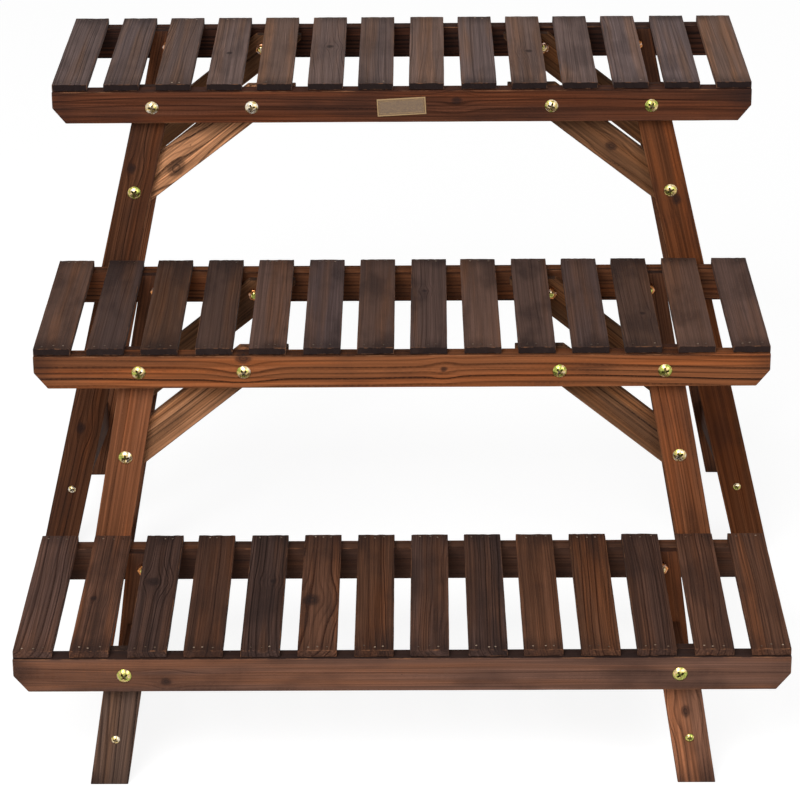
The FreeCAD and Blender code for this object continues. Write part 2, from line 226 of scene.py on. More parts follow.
def new_tree(name, kind, inputs, outputs):
    """Empty node group whose inputs and outputs have these names and types, and add_node for it."""
    tree = bpy.data.node_groups.new(name, kind)
    for in_out, sockets in (("INPUT", inputs), ("OUTPUT", outputs)):
        for label, socket_type in sockets.items():
            tree.interface.new_socket(label, in_out=in_out, socket_type="NodeSocket" + socket_type)
    return tree, functools.partial(add_node, tree)


def new_material(name):
    """A new material, its shader, and add_node for its tree."""
    material = bpy.data.materials.new(name)
    material.use_nodes = True
    tree = material.node_tree
    return material, tree.nodes["Principled BSDF"], functools.partial(add_node, tree)


def fir_group():
    """Carbonised fir: growth rings of a virtual log cut by each board, fibres, knots, soot and worn edges.

    Points carry their place in the board (grain), the board's half sizes (half), its seed, tone and warmth (trait)
    and two knots (knot_one, knot_two: along, across, radius in millimetres, radius 0 for none). Blackened faces are
    marked (charred): the burnt ends, and painted shade on a rear rail's face under the slats and, over real burning,
    on a front rail's top face between the slats.
    """
    tree, add = new_tree("carbonised fir", "ShaderNodeTree", {
        "Early": "Color", "Late": "Color", "Soot": "Color", "Worn": "Color", "Ring width": "Float",
        "Line strength": "Float", "Streaks": "Float", "Soot amount": "Float", "End char": "Float",
    }, {"Colour": "Color", "Roughness": "Float", "Relief": "Float"})
    given = add("NodeGroupInput").outputs

    # the place in the board and its half sizes in millimetres, and the board's own dice
    marks = {name: add(ATTRIBUTE, attribute_name=name).outputs["Vector"]
             for name in ("grain", "half", "trait", "knot_one", "knot_two")}
    place = add(SCALE, marks["grain"], 1 / MM)
    half = add(SCALE, marks["half"], 1 / MM)
    parts = add(SEPARATE, place).outputs
    across, deep, along = parts
    board, tone, warmth = add(SEPARATE, marks["trait"]).outputs
    dice = add(DICE, board).outputs["Color"]
    log_aside, log_below, log_growth = add(SEPARATE, dice).outputs
    cut = add(DICE, add(MULTIPLY_ADD, board, 3.1, 0.7)).outputs["Color"]
    cut_slant, cut_contrast, _ = add(SEPARATE, cut).outputs
    own = add(VECTOR, place, add(SCALE, dice, 900.0), operation="ADD")      # each board sits elsewhere in the noises

    # noises drawn out along the board: their scale per millimetre across, through and along it, detail, roughness
    figure = {}
    for name, scale, detail, rough in (
        ("wobble", (0.22, 0.22, 0.12), 2.0, 0.5), ("wander", (0.007, 0.007, 0.0032), 1.0, 0.5),
        ("ripple", (0.05, 0.05, 0.011), 2.0, 0.5), ("fibre", (1.3, 1.3, 0.009), 2.0, 0.6),
        ("streak", (0.42, 0.42, 0.003), 3.0, 0.6), ("patch", (0.026, 0.026, 0.009), 3.0, 0.55),
        ("warm", (0.07, 0.07, 0.0035), 2.0, 0.5), ("chips", (0.12, 0.12, 0.03), 3.0, 0.7),
    ):
        figure[name] = add(NOISE, add(VECTOR, own, scale, operation="MULTIPLY"), 1.0, detail, rough)

    # masks made of them: the noise, its values where the mask starts and ends, and the mask's own values there
    mask = {}
    for name, source, *limits in (
        ("fine", "fibre", 0.25, 0.75, 0.66, 1.36), ("broad", "streak", 0.28, 0.72, 0.55, 1.5),
        ("browned", "warm", 0.45, 0.7), ("sooty", "patch", 0.46, 0.66), ("smoke", "patch", 0.3, 0.65, 0.1, 0.6),
        ("chips", "chips", 0.38, 0.7, -0.4, 0.85),
    ):
        mask[name] = add(SMOOTH, figure[source], *limits)

    # knots push the grain lines aside and leave a dark eye with a ring or two in it
    eye = 0.0
    for name in ("knot_one", "knot_two"):
        knot_along, knot_across, radius = add(SEPARATE, marks[name]).outputs
        side = add(SUBTRACT, across, knot_across)
        ahead = add(MULTIPLY, add(SUBTRACT, along, knot_along), 0.7)
        reach = add(LENGTH, add(COMBINE, side, ahead))
        reach = add(SUBTRACT, add(MULTIPLY_ADD, figure["wobble"], 3.6, reach), 1.8)
        ratio = add(DIVIDE, reach, add(MAXIMUM, radius, 0.01))
        pull = add(MULTIPLY, ratio, 0.34)
        pull = add(EXPONENT, add(MULTIPLY, add(MULTIPLY, pull, pull), -1.0))
        across = add(MULTIPLY_ADD, add(MULTIPLY, side, pull), -0.8, across)
        ring = add(MULTIPLY_ADD, add(FRACT, add(MULTIPLY, ratio, 2.3)), 0.35, 0.65)
        eye = add(MAXIMUM, add(MULTIPLY, add(SMOOTH, ratio, 1.25, 0.45), ring), eye)

    # rings of a log: its heart lies under or beside the board and runs at a slight slant to it
    wander = add(VECTOR, figure["wander"].outputs["Color"], (0.5, 0.5, 0.5), operation="SUBTRACT")
    wander_x, wander_y, _ = add(SEPARATE, wander).outputs
    aside = add(SUBTRACT, log_aside, 0.5)
    slant = add(MULTIPLY_ADD, cut_slant, 0.07, -0.035)
    ring_x, ring_y = across, add(ADD, add(MULTIPLY_ADD, log_below, 26.0, 7.0), deep)
    for term, share in ((add(SIGN, aside), 20.0), (aside, 110.0), (wander_x, 16.0)):
        ring_x = add(MULTIPLY_ADD, term, share, ring_x)
    for term, share in ((along, slant), (wander_y, 14.0)):
        ring_y = add(MULTIPLY_ADD, term, share, ring_y)
    distance = add(LENGTH, add(COMBINE, ring_x, ring_y))
    distance = add(MULTIPLY_ADD, figure["ripple"], 2.2, distance)
    width = add(MULTIPLY, add(MULTIPLY_ADD, log_growth, 0.6, 0.7), given["Ring width"])
    year = add(DIVIDE, distance, width)
    year = add(MULTIPLY_ADD, add(LINE_NOISE, year, 0.4, 1.0), 2.0, year)
    season = add(FRACT, year)
    late = add(MULTIPLY, add(SMOOTH, season, 0.4, 0.88), add(SMOOTH, season, 1.0, 0.9))
    which = add(DICE, add(FLOOR, year))
    which = add(MULTIPLY_ADD, add(MULTIPLY, which, which), 1.1, 0.25)
    late = add(MULTIPLY, late, which)
    strength = add(MULTIPLY, add(MULTIPLY_ADD, cut_contrast, 0.9, 0.55), given["Line strength"])

    # fibres and streaks, warm where the flame only browned the wood, sooty where it burnt it
    wood = add(MIX, add(MULTIPLY, late, strength), given["Early"], given["Late"])
    grey = add(MULTIPLY_ADD, mask["fine"], mask["broad"], -1.0)
    grey = add(MULTIPLY_ADD, grey, given["Streaks"], 1.0)
    wood = add(SCALE, wood, add(MULTIPLY, grey, add(ADD, tone, 0.5)))
    tint = add(VECTOR, warmth, (0.56, -0.24, -1.4), (0.72, 1.12, 1.7), operation="MULTIPLY_ADD")
    wood = add(VECTOR, wood, tint, operation="MULTIPLY")
    glow = add(VECTOR, wood, (1.28, 1.06, 0.82), operation="MULTIPLY")
    sooty = add(MULTIPLY, mask["sooty"], given["Soot amount"])
    knotty = add(MULTIPLY, eye, 0.9)
    # the marked faces: burnt ends, and painted shade on the rail faces under and between the slats
    charred = add(MULTIPLY, add(ATTRIBUTE, attribute_name="charred").outputs["Fac"], given["End char"])

    # an edge is where two of the three margins are small: rubbed pale in places, dark in the others
    beside, below, before = (add(SUBTRACT, limit, add(ABSOLUTE, coordinate))
                             for coordinate, limit in zip(parts, add(SEPARATE, half).outputs))
    near_end = add(MULTIPLY, add(SMOOTH, before, 34.0, 0.0), mask["smoke"])
    edge = add(MINIMUM, add(MAXIMUM, beside, below), before)
    edge = add(MAXIMUM, add(MINIMUM, beside, below), edge)
    rubbed = add(MULTIPLY, add(SMOOTH, edge, 1.4, 0.3), mask["chips"])
    burnt = add(MULTIPLY, rubbed, -1.0)

    soot = given["Soot"]
    for amount, over in ((mask["browned"], glow), (sooty, soot), (near_end, soot), (knotty, soot), (charred, soot),
                         (rubbed, given["Worn"]), (burnt, soot)):
        wood = add(MIX, amount, wood, over)
    rough = add(MULTIPLY_ADD, figure["fibre"], 0.3, 0.62)
    relief = 0.0
    for term, share in ((figure["streak"], 0.5), (figure["fibre"], 0.5), (late, 0.6), (eye, -0.5)):
        relief = add(MULTIPLY_ADD, term, share, relief)
    add("NodeGroupOutput", wood, rough, relief)
    return tree


FIR_LOOKS = {
    # ring width in millimetres, and strength of the ring lines, the streaks, the soot and the marked faces:
    # burnt ends, and painted shade on the rails' marked faces
    "top_rail": (3.4, 1.2, 1.0, 0.5, 0.4),
    "middle_rail": (5.4, 0.8, 0.7, 0.4, 0.3),
    "bottom_rail": (2.4, 0.7, 0.5, 0.5, 0.85),
    "leg": (3.2, 0.75, 0.75, 0.45, 0.6),
    "brace": (3.0, 0.9, 0.9, 0.45, 0.6),
    "top_slat": (2.4, 0.55, 0.65, 0.35, 1.0),
    "middle_slat": (2.6, 0.45, 0.55, 0.6, 0.9),
    "bottom_slat": (2.9, 1.05, 0.9, 0.5, 0.1),
}


def carbonised_fir(kind):
    """Planed fir, scorched with a flame and brushed: brown, with dark lines in relief and a dull satin face."""
    wood = bpy.context.scene.plant_stand.wood
    material, shader, add = new_material("carbonised fir, %ss" % kind.replace("_", " "))
    group = bpy.data.node_groups.get("carbonised fir") or fir_group()
    shades = [(*shade, 1.0) for shade in (getattr(wood, kind), wood.late, wood.soot, wood.worn)]
    grain = add("ShaderNodeGroup", *shades, *FIR_LOOKS[kind], node_tree=group).outputs
    bump = add("ShaderNodeBump", {"Height": grain["Relief"], "Strength": 0.6, "Distance": 0.35 * MM})
    plug(shader, {"Base Color": grain["Colour"], "Roughness": grain["Roughness"], "Normal": bump, "IOR": 1.47,
                        "Specular IOR Level": 0.06})
    return material


def yellow_zinc(name, thick, usual, thin):
    """Steel with yellow chromate plating: bright, its colour drifting with the thickness of the film; recess faces get
    painted shade.
    """
    material, shader, add = new_material(name)
    place = add("ShaderNodeTexCoord").outputs["Object"]
    film = add(NOISE, place, 0.24 / MM, 1.0)      # drifts over 4 mm
    bath = add(NOISE, place, 0.02 / MM, 0.0)      # and from piece to piece
    ramp = add("ShaderNodeValToRGB", add(ADD, film, add(MULTIPLY_ADD, bath, 0.6, -0.3)))
    stops = ((0.4, thick), (0.6, thin), (0.5, usual))
    for element, (position, shade) in zip((*ramp.color_ramp.elements, ramp.color_ramp.elements.new(0.5)), stops):
        element.position = position
        element.color = (*shade, 1.0)
    scratch = add(NOISE, place, 0.7 / MM, 3.0)
    rough = add(MULTIPLY_ADD, scratch, 0.3, 0.12)
    # painted shade: faces in the cross recess darkened towards near black
    deep = add(MULTIPLY, add(ATTRIBUTE, attribute_name="deep").outputs["Fac"], 0.8)
    plated = add(SCALE, ramp, add(RANGE, scratch, 0.35, 0.65, 0.55, 1.1))
    plated = add(MIX, deep, plated, (0.03, 0.018, 0.01, 1.0))
    plug(shader, {"Base Color": plated, "Roughness": rough, "Metallic": 1.0})
    return material


def bright_wire(name, bare):
    """Bare drawn wire, as nail heads: a pale dull glint, browned by the wood's soot where the stain is above bare."""
    material, shader, add = new_material(name)
    place = add("ShaderNodeTexCoord").outputs["Object"]
    stain = add(NOISE, place, 0.05 / MM, 2.0)     # changes from nail to nail
    stain = add(RANGE, stain, bare, bare + 0.16)
    red, green, blue = bpy.context.scene.plant_stand.metal.nail
    browned = (red * 0.2, green * 0.16, blue * 0.13, 1.0)
    shade = add(MIX, stain, (red, green, blue, 1.0), browned)
    plug(shader, {"Base Color": shade, "Metallic": 1.0, "Roughness": 0.4})
    return material


def stamped_brass():
    """Thin stamped brass, dulled with age: brighter on the border, dull and pitted in the field."""
    metal = bpy.context.scene.plant_stand.metal
    material, shader, add = new_material("aged stamped brass")
    place = add("ShaderNodeTexCoord").outputs["Object"]
    tarnish = add(NOISE, place, 1.6 / MM, 3.0, 0.6)
    raised = add(ATTRIBUTE, attribute_name="raised").outputs["Fac"]
    clean = add(MULTIPLY_ADD, tarnish, 2.4, -0.95)
    clean = add(MULTIPLY_ADD, raised, 0.75, clean)
    shade = add(MIX, clean, (*metal.brass_low, 1.0), (*metal.brass, 1.0))
    rough = add(MULTIPLY_ADD, tarnish, 0.3, 0.28)
    bump = add("ShaderNodeBump", {"Height": tarnish, "Strength": 0.3, "Distance": 0.1 * MM})
    plug(shader, {"Base Color": shade, "Roughness": rough, "Normal": bump, "Metallic": 0.9})
    return material


# ---- objects and meshes --------------------

def new_object(name, data):
    """Object of a mesh, a lamp or a camera, in the scene."""
    thing = bpy.data.objects.new(name, data)
    bpy.context.scene.collection.objects.link(thing)
    return thing


def show(name, mesh, slot, *nodes):
    """Shows a finished mesh as a piece that rides on the stand and stands for CAD nodes."""
    piece = new_object(name, mesh)
    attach(piece, BODY)
    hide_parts(*nodes)
    return piece


def as_mesh(name, work):
    """Turns a bmesh into a mesh."""
    mesh = bpy.data.meshes.new(name)
    work.to_mesh(mesh)
    work.free()
    return mesh


def take_mesh(holder):
    """Mesh of an object with its modifiers run, after which the object goes."""
    view = bpy.context.evaluated_depsgraph_get()
    mesh = bpy.data.meshes.new_from_object(holder.evaluated_get(view), preserve_all_data_layers=True, depsgraph=view)
    bpy.data.objects.remove(holder)
    return mesh


def mark(mesh, name, vectors):
    """Stores a vector on each point of a mesh: one for all of them, or a list with one for each."""
    if not isinstance(vectors, list):
        vectors = [vectors] * len(mesh.vertices)
    attribute = mesh.attributes.new(name, "FLOAT_VECTOR", "POINT")
    attribute.data.foreach_set("vector", [c for vector in vectors for c in vector])


def bridge(work, lower, upper):
    """Joins two rings of points with a band of faces."""
    for i, point in enumerate(lower):
        j = (i + 1) % len(lower)
        work.faces.new((point, lower[j], upper[j], upper[i]))


# ---- boards --------------------

NONE = (0.0, 0.0, 0.0)
KNOTS = {
    # along and across from the board's middle, and radius, in millimetres
    "middle_front_rail": ((-150.0, -14.0, 6.0), (40.0, -2.0, 3.0)),
    "bottom_front_rail": ((-212.0, 6.0, 4.0),),
    "top_front_rail": ((55.0, -6.0, 4.0),),
    "top_front_right_leg": ((140.0, 4.0, 5.0), (-30.0, -8.0, 3.5)),
    "top_front_left_leg": ((175.0, -7.0, 4.5), (-118.0, -4.0, 5.0)),
    "top_front_left_brace": ((-27.0, 6.0, 8.5),),
    "top_front_right_brace": ((0.0, 0.0, 5.0),),
    "middle_front_right_leg": ((-60.0, 5.0, 4.0),),
    "bottom_front_right_leg": ((5.0, 0.0, 5.0),),
}
TONES_AND_PAINTED_SHADE = {node: pair for pair, nodes in (
    # how pale a board is, from about 0, and how warm, from 0 to 1; the rear rails and rear braces are set dark as
    # painted shade under the slats; the others take a random pair
    ((0.5, 0.5), "top_front_rail middle_front_rail bottom_front_rail"),
    # painted shade on the rear rails here and on the next line; the top front left leg is only darker wood
    ((0.2, 0.5), "top_rear_rail middle_rear_rail top_front_left_leg"),
    ((0.3, 0.6), "bottom_rear_rail"),
    ((0.35, 0.65), "top_front_right_leg"),
    ((1.0, 0.55), "middle_front_left_leg"),
    ((0.9, 0.6), "middle_front_right_leg"),
    ((0.6, 0.0), "bottom_front_left_leg"),
    ((1.45, 0.3), "bottom_front_right_leg"),
    ((1.2, 0.5), "top_front_left_brace"),
    ((0.6, 0.5), "middle_front_left_brace"),
    ((0.05, 0.5), "middle_front_right_brace"),
    ((0.0, 0.5), "top_front_right_brace top_left_stretcher top_right_stretcher"),
    # painted shade: the rear braces darkened as the shade that they stand in
    ((-0.12, 0.5), "top_rear_left_brace top_rear_right_brace middle_rear_left_brace middle_rear_right_brace"),
) for node in nodes.split()}


def board_frame(node, thick_axis):
    """Outline of a flat CAD board and the frame of its grain: across, through its thickness, and along it.

    Returns the outline as (across, along) points about the middle, half the thickness, and the frame's matrix.
    """
    through = Vector([float(i == thick_axis) for i in range(3)])
    first, second = [i for i in range(3) if i != thick_axis]
    corners = [vertex.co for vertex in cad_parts[node].data.vertices]
    flat = sorted({(round(co[first], 5), round(co[second], 5)) for co in corners})
    hull = [Vector(flat[i]) for i in geometry.convex_hull_2d(flat)]
    turns = zip(hull[-1:] + hull[:-1], hull, hull[1:] + hull[:1])
    sharp = [point for before, point, after in turns if abs((point - before).angle_signed(after - point)) > 0.02]
    sides = [after - point for point, after in zip(sharp, sharp[1:] + sharp[:1])]
    along = Vector((0.0, 0.0, 0.0))
    along[first], along[second] = max(sides, key=lambda side: side.length).normalized()
    if max(along, key=abs) < 0:
        along.negate()
    across = through.cross(along)
    points = []
    for point in sharp:
        place = Vector((0.0, 0.0, 0.0))
        place[first], place[second] = point
        points.append((place.dot(across), place.dot(along)))
    low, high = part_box(node)
    middle = [(min(values) + max(values)) / 2 for values in zip(*points)]
    outline = [(c - middle[0], a - middle[1]) for c, a in points]
    centre = across * middle[0] + along * middle[1] + through * (low[thick_axis] + high[thick_axis]) / 2
    turn = Matrix((across, through, along)).transposed().to_4x4()
    return outline, (high[thick_axis] - low[thick_axis]) / 2, Matrix.Translation(centre) @ turn


def board_mesh(name, outline, half_thick, seed, planing, char_and_shade=NONE):
    """Board about its own middle: brushed edges, faint hollows, and its grain and half sizes on its points.

    Its ends are marked as burnt, and the side that the given vector points at is marked as much as the vector is
    long: painted shade on the rails' faces, over real burning on a front rail's top face.
    """
    board = bpy.context.scene.plant_stand.board
    work = bmesh.new()
    face = work.faces.new([work.verts.new((across, -half_thick, along)) for across, along in outline])
    grown = bmesh.ops.extrude_face_region(work, geom=[face])["geom"]
    bmesh.ops.translate(work, verts=[g for g in grown if isinstance(g, bmesh.types.BMVert)],
                        vec=(0, 2 * half_thick, 0))
    bmesh.ops.recalc_face_normals(work, faces=work.faces)
    half_across, half_along = [max(map(abs, values)) for values in zip(*outline)]
    count = max(1, round(2 * half_along / board.station))
    for i in range(1, count):
        cut = Vector((0, 0, -half_along + 2 * half_along * i / count))
        bmesh.ops.bisect_plane(work, geom=work.verts[:] + work.edges[:] + work.faces[:], plane_co=cut,
                               plane_no=(0, 0, 1), dist=1e-6)
    edges = [edge for edge in work.edges if edge.calc_face_angle(0) > math.radians(15)]
    bmesh.ops.bevel(work, geom=edges, offset=board.worn_edge, offset_type="OFFSET", segments=2, profile=0.5,
                    affect="EDGES", clamp_overlap=True)
    bmesh.ops.recalc_face_normals(work, faces=work.faces)
    work.normal_update()
    drift = Vector((seed * 3.7, seed * 1.3, seed * 0.9))
    for vertex in work.verts:
        coarse = noise.noise(vertex.co / 0.035 + drift)
        fine = noise.noise(vertex.co / 0.009 - drift)
        vertex.co -= vertex.normal * planing * (0.5 + 0.3 * coarse + 0.2 * fine)
    # ends are burnt; the side that the vector picks gets painted shade, on a front rail's top face over real burning
    charred = work.faces.layers.float.new("charred")
    for face in work.faces:
        toward = face.normal.dot(char_and_shade)
        face[charred] = 1.0 if abs(face.normal.z) > 0.55 else toward if toward > 0.3 else 0.0
    mesh = as_mesh(name, work)
    mark(mesh, "grain", [vertex.co for vertex in mesh.vertices])
    mark(mesh, "half", (half_across, half_thick, half_along))
    return mesh


def dress_board(node, thick_axis, material, slot, char_and_shade=NONE):
    """Replaces a flat CAD board with a brushed one of the same outline."""
    outline, half_thick, matrix = board_frame(node, thick_axis)
    seed = sum(ord(letter) * (i + 1) for i, letter in enumerate(node)) % 997
    board = bpy.context.scene.plant_stand.board
    mesh = board_mesh(node + "_board", outline, half_thick, seed, board.planing, char_and_shade)
    dice = random.Random(seed + board.seed)
    # tone and warmth; for the rear rails and rear braces these are painted shade
    tone, warmth = TONES_AND_PAINTED_SHADE.get(node, (dice.uniform(0.25, 0.6), dice.uniform(0.4, 0.6)))
    mark(mesh, "trait", (dice.random(), tone, warmth))
    for name, knot in zip(("knot_one", "knot_two"), (*KNOTS.get(node, ()), NONE, NONE)):
        mark(mesh, name, knot)
    mesh.transform(matrix)
    mesh.materials.append(material)
    show(mesh.name, mesh, slot, node)


class PLANT_STAND_OT_rails(bpy.types.Operator):
    """Makes the front and rear rails of the three benches"""

    bl_idname = "plant_stand.rails"
    bl_label = "Rails"
    bl_options = {"REGISTER", "UNDO"}

    def execute(self, context):
        # painted shade: a rear rail's face under the slats, and a front rail's burnt top face between the slats
        inner_painted_shade = {"top": 1.0, "middle": 1.0, "bottom": 0.6}      # on a rear rail's face under the slats
        for bench in reversed(BENCHES):
            material = carbonised_fir(bench + "_rail")
            for face, char_and_shade in (("front", (-1.0, 0.0, 0.0)), ("rear", (0.0, -inner_painted_shade[bench], 0.0))):
                dress_board("%s_%s_rail" % (bench, face), 1, material, bench + "_rail_wood", char_and_shade)
        return {"FINISHED"}


class PLANT_STAND_OT_legs(bpy.types.Operator):
    """Makes the splayed legs and the low stretchers between them"""

    bl_idname = "plant_stand.legs"
    bl_label = "Legs and stretchers"
    bl_options = {"REGISTER", "UNDO"}

    def execute(self, context):
        material = carbonised_fir("leg")
        for bench in BENCHES:
            for side in SIDES:
                dress_board("%s_%s_stretcher" % (bench, side), 2, material, "leg_wood")
                for face in FACES:
                    dress_board("%s_%s_%s_leg" % (bench, face, side), 1, material, "leg_wood")
        return {"FINISHED"}


class PLANT_STAND_OT_braces(bpy.types.Operator):
    """Makes the diagonal braces of the two taller benches"""

    bl_idname = "plant_stand.braces"
    bl_label = "Braces"
    bl_options = {"REGISTER", "UNDO"}

    def execute(self, context):
        material = carbonised_fir("brace")
        for bench in BRACED_BENCHES:
            for face in FACES:
                for side in SIDES:
                    dress_board("%s_%s_%s_brace" % (bench, face, side), 1, material, "brace_wood")
        return {"FINISHED"}


# ---- what repeats --------------------

def grow(name, tree, points, marks, inputs):
    """Runs a Geometry Nodes tree on points and returns its result as a plain mesh."""
    seeds = bpy.data.meshes.new(name + "_points")
    seeds.from_pydata(points, [], [])
    for label, vectors in marks.items():
        mark(seeds, label, vectors)
    holder = new_object(name + "_holder", seeds)
    modifier = holder.modifiers.new("nodes", "NODES")
    modifier.node_group = tree
    for socket in tree.interface.items_tree:
        if socket.in_out == "INPUT" and socket.name in inputs:
            modifier[socket.identifier] = inputs[socket.name]
    mesh = take_mesh(holder)
    mesh.name = name
    bpy.data.meshes.remove(seeds)
    return mesh


def slat_row_tree():
    """Lays a slat on each point, an even pitch apart, each a little out of place and out of square."""
    tree, add = new_tree("slat row", "GeometryNodeTree", {
        "Geometry": "Geometry", "Slat": "Object", "Pitch": "Float", "Count": "Int", "Start": "Vector",
        "Drift": "Float", "Turn": "Float", "Hollow": "Float", "Ragged": "Float", "Seed": "Int",
        "Material": "Material",
    }, {"Geometry": "Geometry"})
    given = add("NodeGroupInput").outputs
    index = add("GeometryNodeInputIndex")
    inner = add("FunctionNodeCompare", index, 0, data_type="INT", operation="GREATER_THAN")
    last = add(SUBTRACT, given["Count"], 1.0)
    before = add("FunctionNodeCompare", index, last, operation="LESS_THAN")
    free = add(MULTIPLY, inner, before)         # the end slats stay in line
    rolls = []
    for most, seed in ((given["Drift"], given["Seed"]), (given["Turn"], 11)):
        least = add(MULTIPLY, most, -1.0)
        roll = add("FunctionNodeRandomValue", least, most, index, seed, data_type="FLOAT")
        rolls.append(add(MULTIPLY, roll, free))
    drift, turn = rolls
    step = add(MULTIPLY_ADD, index, given["Pitch"], drift)
    place = add(VECTOR, given["Start"], add(COMBINE, step), operation="ADD")
    points = add("GeometryNodeSetPosition", {"Geometry": given["Geometry"], "Position": place})
    slat = add("GeometryNodeObjectInfo", given["Slat"]).outputs["Geometry"]
    row = add("GeometryNodeInstanceOnPoints", {
        "Points": points, "Instance": slat, "Rotation": add(COMBINE, 0.0, 0.0, turn)})
    solid = add("GeometryNodeRealizeInstances", row)
    spot = add("GeometryNodeInputPosition")
    bend = add(NOISE, spot, 14.0, 1.0)
    bend = add(MULTIPLY, bend, given["Hollow"])
    inward = add(SCALE, add("GeometryNodeInputNormal"), bend)
    inward = add(SCALE, inward, -1.0)
    solid = add("GeometryNodeSetPosition", {"Geometry": solid, "Offset": inward})
    tear = add(NOISE, spot, 230.0, 2.0)           # bites 4 mm wide
    tear = add(RANGE, tear, 0.42, 0.68)
    tip = add("GeometryNodeInputNamedAttribute", "tip", data_type="FLOAT")
    for factor in (given["Ragged"], tip):
        tear = add(MULTIPLY, tear, factor)
    back = add(COMBINE, 0.0, tear)
    solid = add("GeometryNodeSetPosition", {"Geometry": solid, "Offset": back})
    solid = add("GeometryNodeSetMaterial", {"Geometry": solid, "Material": given["Material"]})
    add("NodeGroupOutput", solid)
    return tree


def fastener_tree():
    """Sets a fastener on each point, facing the way that the point's facing says, spun about its own axis."""
    tree, add = new_tree("fastener set", "GeometryNodeTree", {
        "Geometry": "Geometry", "Fastener": "Object", "Spin": "Float", "Seed": "Int", "Material": "Material",
    }, {"Geometry": "Geometry"})
    given = add("NodeGroupInput").outputs
    piece = add("GeometryNodeObjectInfo", given["Fastener"]).outputs["Geometry"]
    facing = add("GeometryNodeInputNamedAttribute", "facing", data_type="FLOAT_VECTOR")
    rows = add("GeometryNodeInstanceOnPoints", {"Points": given["Geometry"], "Instance": piece,
                                                      "Rotation": facing})
    spin = add("FunctionNodeRandomValue", {2: 0.0, 3: given["Spin"], "Seed": given["Seed"]}, data_type="FLOAT")
    spin = add(COMBINE, 0.0, 0.0, spin)                 # inputs 2 and 3 are the least and the most
    rows = add("GeometryNodeRotateInstances", {"Instances": rows, "Rotation": spin, "Local Space": True})
    solid = add("GeometryNodeRealizeInstances", rows)
    solid = add("GeometryNodeSetMaterial", {"Geometry": solid, "Material": given["Material"]})
    add("NodeGroupOutput", solid)
    return tree


SLAT_SEEDS = {"bottom": 22567, "middle": 162329, "top": 108998}     # pale and dark slats as on a real bench
TONE_SPREAD = {"bottom": 0.6, "middle": 0.55, "top": 0.32}
SLAT_KNOTS = {
    # bench: slat number from the left: along and across from the slat's middle, and radius, in millimetres
    "bottom": {1: (-15.0, -6.0, 3.5), 2: (20.0, -4.0, 7.0), 4: (20.0, 6.0, 3.0), 5: (-20.0, -8.0, 9.0)},
    "middle": {11: (-35.0, 5.0, 3.0), 7: (30.0, -4.0, 3.0)},
    "top": {3: (-12.0, 0.0, 3.0), 5: (10.0, 2.0, 4.0), 9: (-10.0, 3.0, 4.0)},
}


class PLANT_STAND_OT_slats(bpy.types.Operator):
    """Makes the fourteen slats of each bench"""

    bl_idname = "plant_stand.slats"
    bl_label = "Slats"
    bl_options = {"REGISTER", "UNDO"}

    def execute(self, context):
        board = context.scene.plant_stand.board
        tree = slat_row_tree()
        flat = Matrix(((1, 0, 0), (0, 0, 1), (0, -1, 0))).to_4x4()      # turns thickness to -Z and length to Y
        steps = [SLAT_WIDTH / 2 * (i / 6 - 1) for i in range(13)]
        for order, bench in enumerate(reversed(BENCHES)):
            node = bench + "_slats"
            low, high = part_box(node)
            half_length = (high.y - low.y) / 2
            outline = [(x, -half_length) for x in steps] + [(-x, half_length) for x in steps]
            blank = board_mesh(node + "_blank", outline, (high.z - low.z) / 2, order, board.slat_planing)
            tips = blank.attributes.new("tip", "FLOAT", "POINT")
            for vertex, tip in zip(blank.vertices, tips.data):
                tip.value = -math.copysign(float(abs(vertex.co.z) > half_length - 2 * MM), vertex.co.z)
            blank.transform(flat)
            slat = new_object(node + "_blank", blank)
            dice = random.Random(SLAT_SEEDS[bench])
            rolls = [(dice.random(), dice.random(), dice.random()) for _ in range(SLATS_PER_BENCH)]
            spread = TONE_SPREAD[bench]
            marks = {
                "trait": [(which, 0.5 + spread * (tone - 0.5), 0.5 + 0.6 * spread * (warmth - 0.5))
                          for which, tone, warmth in rolls],
                "knot_one": [SLAT_KNOTS[bench].get(i, NONE) for i in range(SLATS_PER_BENCH)],
                "knot_two": NONE,
            }
            mesh = grow(node + "_row", tree, [NONE] * SLATS_PER_BENCH, marks, {
                "Slat": slat, "Pitch": (high.x - low.x - SLAT_WIDTH) / (SLATS_PER_BENCH - 1),
                "Count": SLATS_PER_BENCH, "Drift": board.slat_drift, "Turn": board.slat_turn,
                "Start": (low.x + SLAT_WIDTH / 2, (low.y + high.y) / 2, (low.z + high.z) / 2),
                "Hollow": board.planing * 0.5, "Ragged": board.ragged_end, "Seed": order,
                "Material": carbonised_fir(bench + "_slat"),
            })
            bpy.data.objects.remove(slat)
            show(mesh.name, mesh, bench + "_slat_wood", node)
        return {"FINISHED"}


# ---- fasteners --------------------

BOLT_RADIUS = 3.0 * MM
BOLT_HEAD = (0.7 * MM, 8.8 * MM, 2.1 * MM, 2.2 * MM)    # height of its plain rim; span, width and depth of the recess
SCREW_HEAD = (0.5 * MM, 5.4 * MM, 1.4 * MM, 1.5 * MM)
SCREW_SHANK = [(0.2 * MM, -40 * MM), (2 * MM, -35 * MM), (2 * MM, 0.0)]
NUT_ACROSS_FLATS = 10.0 * MM
NUT_HEIGHT = 5.0 * MM
NAIL_SPACING = 9.0 * MM
FACING = {"front": (math.pi / 2, 0, 0), "rear": (-math.pi / 2, 0, 0)}       # points a head out of its bench
BOLT_SETS = (
    # bolts, the board under their heads and the board under their nuts
    ("leg_bolts", "rail", "left_leg"),
    ("rail_brace_bolts", "rail", "left_brace"),
    ("leg_brace_bolts", "left_leg", "left_brace"),
)


